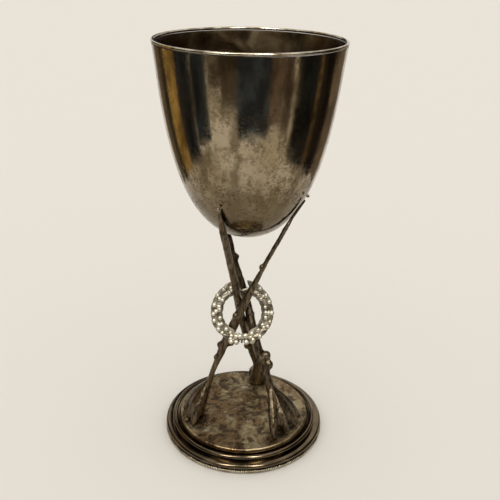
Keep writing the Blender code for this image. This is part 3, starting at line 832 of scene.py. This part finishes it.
@dataclass
class Foot:
    """The spun foot with its mouldings, the milled wire and the rustic ground on top."""

    sheet: float = 1.3 * MM
    gap: float = 0.3 * MM
    plateau: float = 32.0 * MM
    upper_round: float = 1.2 * MM
    lower_round: float = 1.25 * MM
    wire_width: float = 1.5 * MM
    rest_width: float = 1.4 * MM
    rest_edge: float = 0.15 * MM
    groove: float = 0.45 * MM
    groove_depth: float = 0.05 * MM
    shoulder: float = 1.1 * MM
    crown: float = 0.3 * MM
    tooth_steps: int = 6
    teeth: int = 290
    tooth_depth: float = 0.22 * MM
    unevenness: float = 0.03 * MM
    standing: float = 1 * MM
    relief: float = 0.75 * MM
    lump: float = 3.6 * MM
    ground_round: float = 0.9 * MM
    break_edge: float = 0.1 * MM
    rings: int = 115
    ground_steps: int = 384
    steps: int = 288

    def outline(self) -> Outline:
        """Section of the shell, from the middle of its top round to its underside.

        Returns:
            The (radius, height) points.
        """
        top = node_box("ground_plate")[0].z - self.gap
        outer = node_box("milled_wire")[1].x
        seat = outer - self.wire_width - self.gap
        ledge = node_box("milled_wire")[1].z + self.gap
        upper = Vector((self.plateau + self.gap + self.shoulder + self.upper_round, top))
        lower = Vector((node_box("foot")[1].x - self.lower_round, ledge + self.lower_round))
        step = lower.y + self.lower_round - 0.15 * MM
        rest = seat - self.rest_width
        inner = upper.x + self.upper_round - self.sheet
        groove = (self.plateau + self.gap + self.groove, top - self.groove_depth)
        return [
            (0.0, top),
            (self.plateau - self.gap, top),
            groove,
            *arc(upper, self.upper_round, 165, 5, 18),
            (upper.x + self.upper_round + 0.08 * MM, step),
            *arc(lower, self.lower_round, 80, -80, 18),
            (seat, ledge),
            (seat, self.rest_edge),
            (seat - self.rest_edge, 0.0),
            (rest + self.rest_edge, 0.0),
            (rest, self.rest_edge),
            (rest - 0.2 * MM, ledge + 0.4 * MM),
            (inner, top - self.sheet),
            (0.0, top - self.sheet),
        ]

    def handled(self, place: Vector, _normal: Vector) -> float:
        """The slight unevenness of old sheet, none where the foot stands.

        Args:
            place: A point of the shell.
            _normal: Its direction outward; not used.

        Returns:
            The distance to move the point, in metres.
        """
        if place.z <= self.standing:
            return 0.0
        return -self.unevenness * (1 + fractal(place, 9 * MM, 1.3, 3))

    def dress_shell(self, finish: bpy.types.Material) -> None:
        """Builds the spun shell, a little uneven from handling.

        Args:
            finish: The piece's material.
        """
        shape = spun(self.outline(), self.steps)
        roughen(shape, self.handled)
        place_piece("spun_foot", shape, [finish], ["foot"], sharp=35)

    def tooth(self, place: Vector) -> float:
        """Depth of the milled wire's pattern at an angle round it, 0 at a tooth's crest."""
        turn = math.atan2(place.y, place.x)
        return self.tooth_depth * (0.5 - 0.5 * math.cos(turn * self.teeth))

    def dress_milled_wire(self, finish: bpy.types.Material) -> None:
        """Builds the milled wire: a band whose outer face is cut into fine teeth.

        Args:
            finish: The piece's material.
        """
        low, high = node_box("milled_wire")
        crown = self.crown
        outer = high.x
        upper = Vector((outer - crown, high.z - crown))
        lower = Vector((outer - crown, low.z + crown))
        section = [
            (outer - self.wire_width, high.z),
            *arc(upper, crown, 90, 0, 4),
            *arc(lower, crown, 0, -90, 4),
            (outer - self.wire_width, low.z),
        ]
        shape = spun(section, self.teeth * self.tooth_steps, closed=True)
        for point in shape.verts:
            out = Vector((point.co.x, point.co.y, 0.0))
            if out.length > outer - 0.9 * crown:
                point.co -= out.normalized() * self.tooth(point.co)
        place_piece("milled_edge", shape, [finish], ["milled_wire"], sharp=60)

    def ground_height(self, place: Vector, normal: Vector) -> float:
        """Relief of the rustic ground: hollows and lumps, none on its side or underside.

        Args:
            place: A point of the surface.
            normal: Its direction outward.

        Returns:
            The distance to move the point, in metres.
        """
        if normal.z < 0.5:
            return 0.0
        rim = math.hypot(place.x, place.y) / self.plateau
        fade = 1.0 - min(max((rim - 0.93) / 0.07, 0.0), 1.0) ** 2
        level = Vector((place.x, place.y, 0.0))
        coarse = fractal(level, 9 * MM, 3.7, 3)
        lumps = abs(fractal(level, self.lump, 8.4, 4))
        grit = fractal(level, 0.9 * MM, 2.2, 3)
        depth = 0.42 - 0.30 * coarse - 0.55 * (0.5 - lumps) * 0.6 - 0.14 * grit
        return -fade * self.relief * min(max(depth, 0.0), 1.0)

    def dress_ground(self, finish: bpy.types.Material) -> None:
        """Builds the ground plate with its modelled surface.

        Args:
            finish: The piece's material.
        """
        low, high = node_box("ground_plate")
        edge = self.ground_round
        flat = self.plateau - edge
        top = [(flat * ring / self.rings, high.z) for ring in range(self.rings)]
        side = arc(Vector((flat, high.z - edge)), edge, 90, 0, 8)
        under = [
            (self.plateau, low.z + self.break_edge),
            (self.plateau - self.break_edge, low.z),
            (0.0, low.z),
        ]
        shape = spun(top + side + under, self.ground_steps)
        roughen(shape, self.ground_height)
        place_piece("rustic_ground_plate", shape, [finish], ["ground_plate"], sharp=80)


# ---------------------------------------------------------------- branches


@dataclass
class BranchPiece:
    """One branch: the CAD branch with its roots webbed together and its bark modelled."""

    name: str
    seed: float
    web: float = 0.9 * MM
    coarse: float = 0.45 * MM
    voxel: float = 0.30 * MM
    furrow: float = 0.13 * MM
    lump: float = 0.16 * MM
    fullness: float = 0.30 * MM
    free_rise: float = 8 * MM
    taper: float = 5 * MM

    @property
    def node(self) -> str:
        """The CAD node that it stands for."""
        return f"branch_{self.name}"

    def bark(self, place: Vector, normal: Vector) -> float:
        """Furrows that run up the branch and soft lumps, none where it meets the ground.

        Args:
            place: A point of the surface.
            normal: Its direction outward.

        Returns:
            The distance to move the point, in metres.
        """
        floor = node_box(self.node)[0].z
        if normal.z < -0.7 and place.z < floor + 1.2 * MM:
            return 0.0
        along = Vector((place.x, place.y, place.z * 0.13))
        furrow = 1.0 - abs(fractal(along, 1.3 * MM, self.seed, 3))
        lump = fractal(place, 3.4 * MM, self.seed + 5.0, 3)
        tip = min(max((place.z - node_box("bowl")[0].z - self.free_rise) / self.taper, 0.0), 1.0)
        relief = self.furrow * max(furrow - 0.55, 0.0) * 1.8 + self.lump * (0.5 - 0.5 * lump)
        return -relief * (1 - tip) - (self.fullness + 0.1 * MM) * tip

    def dress(self, finish: bpy.types.Material) -> None:
        """Builds the branch.

        Args:
            finish: The piece's material.
        """
        low, _high = node_box(self.node)
        swollen = remeshed(merged_copy(self.node), self.coarse, self.web)
        shape = remeshed(swollen, self.voxel, -self.web + self.fullness)
        soften(shape, 2)
        roughen(shape, self.bark)
        soften(shape, 1, 0.35)
        for point in shape.verts:
            point.co.z = max(point.co.z, low.z)
        place_piece(f"bark_{self.name}", shape, [finish], [self.node], sharp=75)


# ---------------------------------------------------------------- wreath


@dataclass
class Wreath:
    """Two laurel sprays that meet in a ring, bound with wire where their stems cross."""

    radius: float = 12.3 * MM
    stem: float = 0.8 * MM
    half_gap: float = 0.15 * MM
    leaf_length: float = 6.9 * MM
    leaf_width: float = 3.3 * MM
    leaf_pairs: int = 9
    berry: float = 1.25 * MM
    low_berry_lift: float = 0.6 * MM
    low_berries: tuple[tuple[float, float], ...] = (
        (-20, 2.2 * MM),
        (-10, 1.9 * MM),
        (-14, -0.7 * MM),
        (-4, -1.0 * MM),
        (9, -1.2 * MM),
        (9, 1.6 * MM),
    )
    tail_degrees: float = -24.0
    tail_flare: float = 2.7 * MM
    first_leaf: float = 16.0
    last_leaf: float = 149.0
    tie_wire: float = 0.4 * MM
    strand: float = 0.45
    turns: int = 3

    def __post_init__(self) -> None:
        """Finds the ring's own frame from the CAD sprays: x right, y up the lean, z forward."""
        low, high = node_box("wreath_tie")
        tie = (low + high) / 2
        points = []
        for node in ("wreath_left", "wreath_right"):
            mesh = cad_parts[node].data
            points += [vertex.co.copy() for vertex in mesh.vertices]
        cloud = np.array(points)
        _, _, axes = np.linalg.svd(cloud - cloud.mean(axis=0), full_matrices=False)
        forward = Vector(axes[2])
        forward = forward if forward.y < 0 else -forward
        right = Vector((1.0, 0.0, 0.0))
        up = forward.cross(right).normalized()
        forward = right.cross(up)
        turn = Matrix((right, up, forward)).transposed().to_4x4()
        self.frame = Matrix.Translation(tie + up * self.radius) @ turn

    def point(self, side: int, degrees: float, out: float = 0.0, lift: float = 0.0) -> Vector:
        """A place on a spray.

        Args:
            side: -1 for the left spray and 1 for the right one.
            degrees: Angle from the ring's lowest point up the spray's own side.
            out: Distance outward from the ring's line.
            lift: Distance forward from the ring's plane.

        Returns:
            The point, in the trophy's frame.
        """
        angle = math.radians(degrees)
        radius = self.radius + out
        return self.frame @ Vector((side * radius * math.sin(angle), -radius * math.cos(angle), lift))

    def lift(self, side: int, degrees: float) -> float:
        """How far a spray stands forward, so that the right one crosses before the left."""
        fade = min(max((degrees - 24) / 30, 0.0), 1.0)
        return side * (self.stem + self.half_gap) * (1 - fade)

    def add_leaf(
        self, shape: bmesh.types.BMesh, side: int, degrees: float, way: int, rng: random.Random
    ) -> None:
        """Adds one laurel leaf: pointed, creased along its rib, its tip lifted.

        Args:
            shape: The spray's shape.
            side: Which spray.
            degrees: Where the leaf springs from the stem.
            way: 1 for the ring's outer side and -1 for its inner side.
            rng: Seeded source of the leaf's small differences.
        """
        lift = self.lift(side, degrees)
        crown = 1.4 * MM * max(way, 0) * max(degrees - 110, 0) / 40
        base = self.point(side, degrees - 2, way * 0.25 * MM, lift)
        tip = self.point(side, degrees + 26, way * 2.1 * MM + crown, lift + rng.uniform(0.1, 0.6) * MM)
        along = (tip - base).normalized()
        face = self.frame.to_3x3() @ Vector((0.0, 0.0, 1.0))
        across = face.cross(along).normalized()
        face = along.cross(across)
        leaf = bmesh.new()
        bmesh.ops.create_grid(leaf, x_segments=12, y_segments=6, size=0.5)
        width = self.leaf_width * rng.uniform(0.92, 1.06)
        length = self.leaf_length * rng.uniform(0.94, 1.05)
        for point in leaf.verts:
            share = point.co.x + 0.5
            half = (math.sin(math.pi * share**0.85) ** 0.8) if 0 < share < 1 else 0.0
            reach = point.co.y * 2
            crease = 0.34 * MM * abs(reach) ** 1.3 * half
            veins = 0.07 * MM * math.sin(share * 40 - abs(reach) * 5) * half * min(abs(reach) * 3, 1.0)
            point.co = Vector(
                (
                    share * length,
                    reach * half * width / 2,
                    0.55 * MM - crease * 1.4 + veins + 0.5 * MM * share**2,
                )
            )
        bmesh.ops.remove_doubles(leaf, verts=leaf.verts, dist=0.004 * MM)
        bmesh.ops.recalc_face_normals(leaf, faces=leaf.faces)
        bmesh.ops.solidify(leaf, geom=leaf.faces, thickness=0.42 * MM)
        bmesh.ops.recalc_face_normals(leaf, faces=leaf.faces)
        turn = Matrix((along, across, face)).transposed().to_4x4()
        bmesh.ops.transform(leaf, matrix=Matrix.Translation(base) @ turn, verts=leaf.verts)
        self.join(shape, leaf)

    def join(self, shape: bmesh.types.BMesh, other: bmesh.types.BMesh) -> None:
        """Adds another shape to a spray and uses it up.

        Args:
            shape: The spray's shape.
            other: The shape to add.
        """
        mesh = bpy.data.meshes.new("part")
        other.to_mesh(mesh)
        other.free()
        shape.from_mesh(mesh)
        bpy.data.meshes.remove(mesh)

    def add_berry(self, shape: bmesh.types.BMesh, place: Vector, size: float) -> None:
        """Adds a round berry with a small dimple at its end.

        Args:
            shape: The spray's shape.
            place: The berry's middle.
            size: The berry's radius.
        """
        ball = bmesh.new()
        bmesh.ops.create_icosphere(ball, subdivisions=3, radius=size)
        face = self.frame.to_3x3() @ Vector((0.0, 0.0, 1.0))
        for point in ball.verts:
            near = max(point.co.normalized().dot(face) - 0.93, 0.0) / 0.07
            point.co *= 1.0 - 0.12 * near
        bmesh.ops.translate(ball, verts=ball.verts, vec=place)
        for part in ball.faces:
            part.material_index = 1
        self.join(shape, ball)

    def add_stem(self, shape: bmesh.types.BMesh, side: int) -> None:
        """Adds a spray's stem, from its cut tail past the tie up to its tip.

        Args:
            shape: The spray's shape.
            side: -1 for the left spray and 1 for the right one.
        """
        stations = [self.tail_point(side, share) for share in np.linspace(0.0, 1.0, 8)]
        for degrees in np.linspace(-8, 166, 44):
            stations.append(self.point(side, degrees, 0.0, self.lift(side, degrees)))
        tube = bmesh.new()
        ring = None
        for index, place in enumerate(stations):
            ahead = stations[min(index + 1, len(stations) - 1)] - stations[max(index - 1, 0)]
            thick = self.stem * (1.15 - 0.6 * index / len(stations))
            turn = ahead.to_track_quat("Z", "Y").to_matrix().to_4x4()
            made = bmesh.ops.create_circle(
                tube, cap_ends=False, segments=10, radius=thick, matrix=Matrix.Translation(place) @ turn
            )
            edges = list({edge for point in made["verts"] for edge in point.link_edges})
            if ring:
                bmesh.ops.bridge_loops(tube, edges=ring + edges)
            else:
                bmesh.ops.contextual_create(tube, geom=edges)
            ring = edges
        bmesh.ops.contextual_create(tube, geom=ring)
        bmesh.ops.recalc_face_normals(tube, faces=tube.faces)
        self.join(shape, tube)

    def tail_point(self, side: int, share: float) -> Vector:
        """A place on a stem's tail, from its cut end at 0 towards the tie at 1."""
        degrees = self.tail_degrees + 13 * share
        return self.point(side, degrees, self.tail_flare * (1 - share), self.lift(side, 0))

    def dress_spray(self, name: str, side: int, finishes: Sequence[bpy.types.Material]) -> None:
        """Builds one spray.

        Args:
            name: Its name, left or right.
            side: -1 for the left spray and 1 for the right one.
            finishes: The leaves' material and the berries' one.
        """
        rng = random.Random(40 + side)
        shape = bmesh.new()
        self.add_stem(shape, side)
        step = (self.last_leaf - self.first_leaf) / (self.leaf_pairs - 1)
        for pair in range(self.leaf_pairs):
            degrees = self.first_leaf + pair * step
            for way in (1, -1):
                self.add_leaf(shape, side, degrees, way, rng)
            for way in (1, -1) if pair % 2 else (1, -1, 0):
                out = way * rng.uniform(1.1, 1.7) * MM
                turn = degrees + rng.uniform(2, 14)
                height = self.lift(side, turn) + rng.uniform(0.9, 1.15) * MM
                place = self.point(side, turn, out, height)
                self.add_berry(shape, place, self.berry * rng.uniform(0.8, 1.0))
        for degrees, out in self.low_berries:
            height = self.lift(side, degrees) + self.low_berry_lift
            self.add_berry(shape, self.point(side, degrees, out, height), self.berry)
        place_piece(f"laurel_spray_{name}", shape, finishes, [f"wreath_{name}"], sharp=50)

    def dress_tie(self, finish: bpy.types.Material) -> None:
        """Builds the binding wire, wound round both stems.

        Args:
            finish: The piece's material.
        """
        low, high = node_box("wreath_tie")
        reach = (high - low).z / 2 - self.tie_wire
        shape = bmesh.new()
        centre = self.point(1, 0)
        turned = self.frame.to_3x3().to_4x4() @ Matrix.Rotation(math.pi / 2, 4, "Y")
        steps = 30 * self.turns
        ring = None
        for step in range(steps + 1):
            angle = FULL_TURN * self.turns * step / steps
            drift = (step / steps - 0.5) * 0.8 * MM
            spot = Vector((reach * math.cos(angle), 0.82 * reach * math.sin(angle), drift))
            ahead = Vector((-math.sin(angle), math.cos(angle), 0.0))
            turn = ahead.to_track_quat("Z", "Y").to_matrix().to_4x4()
            place = turned @ Matrix.Translation(spot) @ turn
            made = bmesh.ops.create_circle(
                shape, segments=8, radius=self.tie_wire * self.strand, matrix=place
            )
            edges = list({edge for point in made["verts"] for edge in point.link_edges})
            if ring:
                bmesh.ops.bridge_loops(shape, edges=ring + edges)
            else:
                bmesh.ops.contextual_create(shape, geom=edges)
            ring = edges
        bmesh.ops.contextual_create(shape, geom=ring)
        bmesh.ops.recalc_face_normals(shape, faces=shape.faces)
        bmesh.ops.translate(shape, verts=shape.verts, vec=centre)
        place_piece("binding_wire", shape, [finish], ["wreath_tie"], sharp=60)


# ---------------------------------------------------------------- solder and fasteners


@dataclass
class SolderBead:
    """A bead of solder, uneven as it set, in the room that its neighbours leave."""

    node: str
    seed: float

    def dress(self, finish: bpy.types.Material) -> None:
        """Builds the bead inside its CAD node's box.

        Args:
            finish: The piece's material.
        """
        shape = remeshed(merged_copy(self.node), 0.1 * MM)
        soften(shape, 2)
        roughen(shape, lambda place, _normal: -0.08 * MM * (1 + fractal(place, 0.9 * MM, self.seed, 2)))
        place_piece(f"bead_{self.node}", shape, [finish], [self.node], sharp=80)


@dataclass
class Fasteners:
    """The stud, washer and nut that hold one branch to the foot."""

    name: str
    pitch: float = 0.5 * MM
    thread: float = 0.14 * MM
    chamfer: float = 0.3 * MM
    hole: float = 1.5 * MM
    washer_round: float = 0.16 * MM
    nut_flat: float = 2.2 * MM
    nut_bevel: float = 0.2 * MM

    def centre(self, node: str) -> Vector:
        """The axis of a node, at the height of its underside."""
        low, high = node_box(node)
        return Vector(((low.x + high.x) / 2, (low.y + high.y) / 2, low.z))

    def dress_stud(self, finish: bpy.types.Material) -> None:
        """Builds the stud with its helical thread.

        Args:
            finish: The piece's material.
        """
        node = f"stud_{self.name}"
        low, high = node_box(node)
        radius = (high.x - low.x) / 2
        length = high.z - low.z
        rows = int(length / self.pitch * 6)
        rise = (length - 2 * self.chamfer) / rows
        side = [(radius, self.chamfer + rise * row) for row in range(rows + 1)]
        tip = radius - self.chamfer
        section = [(0.0, 0.0), (tip, 0.0), *side, (tip, length), (0.0, length)]
        shape = spun(section, 24)
        for point in shape.verts:
            out = Vector((point.co.x, point.co.y, 0.0))
            if out.length > radius - 0.01 * MM:
                turn = math.atan2(point.co.y, point.co.x) / FULL_TURN
                phase = (point.co.z / self.pitch - turn) % 1.0
                point.co -= out.normalized() * self.thread * abs(2 * phase - 1)
        bmesh.ops.translate(shape, verts=shape.verts, vec=self.centre(node))
        place_piece(f"threaded_{node}", shape, [finish], [node], sharp=50)

    def dress_washer(self, finish: bpy.types.Material) -> None:
        """Builds the washer with its rounded outer edges.

        Args:
            finish: The piece's material.
        """
        node = f"washer_{self.name}"
        low, high = node_box(node)
        radius = (high.x - low.x) / 2
        thick = high.z - low.z
        hole, edge = self.hole, self.washer_round
        section = [
            (hole, thick),
            *arc(Vector((radius - edge, thick - edge)), edge, 90, 0, 4),
            *arc(Vector((radius - edge, edge)), edge, 0, -90, 4),
            (hole, 0.0),
        ]
        shape = spun(section, 64, closed=True)
        bmesh.ops.translate(shape, verts=shape.verts, vec=self.centre(node))
        place_piece(f"turned_{node}", shape, [finish], [node], sharp=50)

    def dress_nut(self, finish: bpy.types.Material) -> None:
        """Builds the hexagonal nut, its corners chamfered and its hole open.

        Args:
            finish: The piece's material.
        """
        node = f"nut_{self.name}"
        shape = merged_copy(node)
        bmesh.ops.dissolve_limit(
            shape, angle_limit=math.radians(2), verts=shape.verts, edges=shape.edges, delimit={"NORMAL"}
        )
        middle = self.centre(node)
        rim = [
            edge
            for edge in shape.edges
            if edge.calc_face_angle(0.0) > math.radians(50)
            and all((point.co - middle).to_2d().length > self.nut_flat for point in edge.verts)
        ]
        bmesh.ops.bevel(
            shape,
            geom=rim,
            affect="EDGES",
            offset=self.nut_bevel,
            segments=2,
            profile=0.5,
            material=-1,
        )
        place_piece(f"hexagon_{node}", shape, [finish], [node], sharp=35)


# ---------------------------------------------------------------- studio


@dataclass(frozen=True)
class Band:
    """An upright strip of the room that polished silver mirrors: degrees from the front,
    positive to the right, its colour, and how far off it stands."""

    start: float
    end: float
    colour: Colour
    away: float = 0.24
    top: float = 0.30


@dataclass
class Studio:
    """Pale table, soft light, the dim room that the metal mirrors, and the camera."""

    table: Colour = (0.84, 0.815, 0.775)
    sky: Colour = (0.93, 0.90, 0.84)
    sky_strength: float = 1.05
    lamp_reach: float = 1.6
    window_size: tuple[float, float] = (0.22, 1.2)
    window_rise: float = 54.0
    window_power: float = 18.0
    camera_place: Vector = Vector((0.0, -0.29118, 0.22696))
    camera_pitch: float = 65.84
    camera_turn: float = 1.01
    camera_roll: float = -0.2913
    lens: float = 50.13
    bands: tuple[Band, ...] = (
        Band(-141, -124, (0.16, 0.12, 0.07)),
        Band(-124, -113, (0.050, 0.040, 0.028), 0.22),
        Band(-113, -93, (0.52, 0.34, 0.11), 0.22),
        Band(-93, -70, (0.030, 0.034, 0.044), 0.225),
        Band(-70, -50, (0.030, 0.040, 0.055), 0.27),
        Band(-50, -34, (0.130, 0.098, 0.066), 0.44),
        Band(-34, -14, (0.105, 0.080, 0.054), 0.35),
        Band(-14, 24, (0.062, 0.080, 0.105), 0.275),
        Band(24, 40, (0.200, 0.145, 0.105), 0.32),
        Band(40, 52, (0.130, 0.098, 0.076), 0.29),
        Band(52, 55, (0.60, 0.52, 0.40), 0.22),
        Band(55, 84, (0.020, 0.022, 0.022), 0.215),
        Band(84, 90, (0.15, 0.10, 0.05), 0.22),
        Band(90, 112, (0.026, 0.021, 0.016), 0.22),
        Band(112, 140, (0.20, 0.15, 0.10)),
        Band(176, 200, (0.05, 0.045, 0.04)),
    )

    def plain(self, name: str, colour: Colour) -> bpy.types.Material:
        """A matt material for the table.

        Args:
            name: The material's name.
            colour: A colour or the socket that gives it.

        Returns:
            The finished material.
        """
        sheet = NodeSheet(name)
        fibres = sheet.noise(0.9 * MM, detail=3.0)
        darker = tuple(0.985 * part for part in colour)
        shade = sheet.mix(sheet.between(fibres, 0.3, 0.7), colour, darker)
        sheet.feed(sheet.shader.inputs["Base Color"], shade)
        sheet.shader.inputs["Roughness"].default_value = 0.9
        sheet.shader.inputs["Specular IOR Level"].default_value = 0.1
        return sheet.material

    def glow(self, name: str, colour: Colour) -> bpy.types.Material:
        """A flat glow of one colour, for a strip of the room.

        Args:
            name: The material's name.
            colour: A colour or the socket that gives it.

        Returns:
            The finished material.
        """
        material = bpy.data.materials.new(name)
        material.use_nodes = True
        tree = material.node_tree
        tree.nodes.clear()
        light = tree.nodes.new("ShaderNodeEmission")
        light.inputs["Color"].default_value = (*colour, 1.0)
        out = tree.nodes.new("ShaderNodeOutputMaterial")
        tree.links.new(light.outputs["Emission"], out.inputs["Surface"])
        return material

    def set_table(self) -> None:
        """Builds the table top."""
        shape = bmesh.new()
        bmesh.ops.create_circle(shape, cap_ends=True, segments=96, radius=12.0)
        mesh = bpy.data.meshes.new("table")
        shape.to_mesh(mesh)
        shape.free()
        mesh.materials.append(self.plain("table_top", self.table))
        table = bpy.data.objects.new("table", mesh)
        bpy.context.scene.collection.objects.link(table)

    def set_band(self, index: int, band: Band) -> None:
        """Builds one strip of the room, which only polished metal shows.

        Args:
            index: The strip's number.
            band: The strip's place, size and colour.
        """
        shape = bmesh.new()
        start = math.radians(band.start - 90)
        foot = [
            shape.verts.new((band.away * math.cos(start), band.away * math.sin(start), height))
            for height in (0.0, band.top)
        ]
        edge = shape.edges.new(foot)
        bmesh.ops.spin(
            shape,
            geom=[*foot, edge],
            cent=(0.0, 0.0, 0.0),
            axis=(0.0, 0.0, 1.0),
            angle=math.radians(band.end - band.start),
            steps=12,
        )
        mesh = bpy.data.meshes.new(f"room_{index}")
        shape.to_mesh(mesh)
        shape.free()
        mesh.materials.append(self.glow(f"room_{index}", band.colour))
        strip = bpy.data.objects.new(f"room_{index}", mesh)
        strip.visible_camera = False
        strip.visible_diffuse = False
        strip.visible_shadow = False
        strip.visible_transmission = False
        bpy.context.scene.collection.objects.link(strip)

    def set_window(self, name: str, azimuth: float) -> None:
        """Sets a tall bright window, which gives the polished edges their paired highlights.

        Args:
            name: Its name.
            azimuth: Degrees from the front, positive to the right.
        """
        light = bpy.data.lights.new(name, "AREA")
        light.shape = "RECTANGLE"
        light.size, light.size_y = self.window_size
        light.energy = self.window_power
        light.color = (1.0, 0.97, 0.92)
        lamp = bpy.data.objects.new(name, light)
        turn, rise = math.radians(azimuth), math.radians(self.window_rise)
        way = Vector((math.sin(turn) * math.cos(rise), -math.cos(turn) * math.cos(rise), math.sin(rise)))
        aim = Vector((0.0, 0.0, 0.08))
        lamp.location = aim + way * self.lamp_reach
        lamp.rotation_mode = "QUATERNION"
        lamp.rotation_quaternion = way.to_track_quat("Z", "Y")
        lamp.visible_diffuse = False
        bpy.context.scene.collection.objects.link(lamp)

    def set_sky(self) -> None:
        """Gives the room's even light."""
        world = bpy.data.worlds.new("studio")
        bpy.context.scene.world = world
        world.use_nodes = True
        back = world.node_tree.nodes["Background"]
        back.inputs["Color"].default_value = (*self.sky, 1.0)
        back.inputs["Strength"].default_value = self.sky_strength

    def set_camera(self) -> None:
        """Sets the camera a little above the rim, looking down at the trophy."""
        data = bpy.data.cameras.new("camera")
        data.sensor_width = 36.0
        data.lens = self.lens
        data.clip_start = 0.01
        camera = bpy.data.objects.new("camera", data)
        pitch = Matrix.Rotation(math.radians(self.camera_pitch), 4, "X")
        roll = Matrix.Rotation(math.radians(self.camera_turn), 4, "Z")
        swing = Matrix.Rotation(math.radians(self.camera_roll), 4, "Y")
        camera.matrix_world = Matrix.Translation(self.camera_place) @ pitch @ roll @ swing
        bpy.context.scene.collection.objects.link(camera)
        bpy.context.scene.camera = camera

    def build(self) -> None:
        """Builds the whole studio."""
        self.set_sky()
        self.set_table()
        for index, band in enumerate(self.bands):
            self.set_band(index, band)
        self.set_window("window_left", -32)
        self.set_window("window_right", 24)
        self.set_camera()
        bpy.context.scene.view_settings.view_transform = "Standard"


def main() -> None:
    """Builds every piece round the frame, then the studio."""
    logging.basicConfig(level=logging.INFO, format="%(message)s")
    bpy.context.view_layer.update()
    edge, bark = EdgeSilver().material(), BranchBark().material()
    leaf, solder, brass = WreathSilver().material(), SolderGrey().material(), FastenerBrass().material()
    bowl = Bowl()
    bowl.dress()
    bowl.dress_lip(edge)
    foot = Foot()
    foot.dress_shell(FootSilver().material())
    foot.dress_milled_wire(edge)
    foot.dress_ground(RusticGround().material())
    for seed, name in enumerate(("front", "right", "back")):
        BranchPiece(name, 3.1 * seed).dress(bark)
        SolderBead(f"bowl_solder_{name}", seed).dress(solder)
        fasteners = Fasteners(name)
        fasteners.dress_stud(brass)
        fasteners.dress_washer(brass)
        fasteners.dress_nut(brass)
    wreath = Wreath()
    berry = BerryPaintedHighlight().material()
    wreath.dress_spray("left", -1, [leaf, berry])
    wreath.dress_spray("right", 1, [leaf, berry])
    wreath.dress_tie(leaf)
    for seed, name in enumerate(("front", "back")):
        SolderBead(f"wreath_solder_{name}", 7.0 + seed).dress(solder)
    Studio().build()


if __name__ == "__main__":
    main()
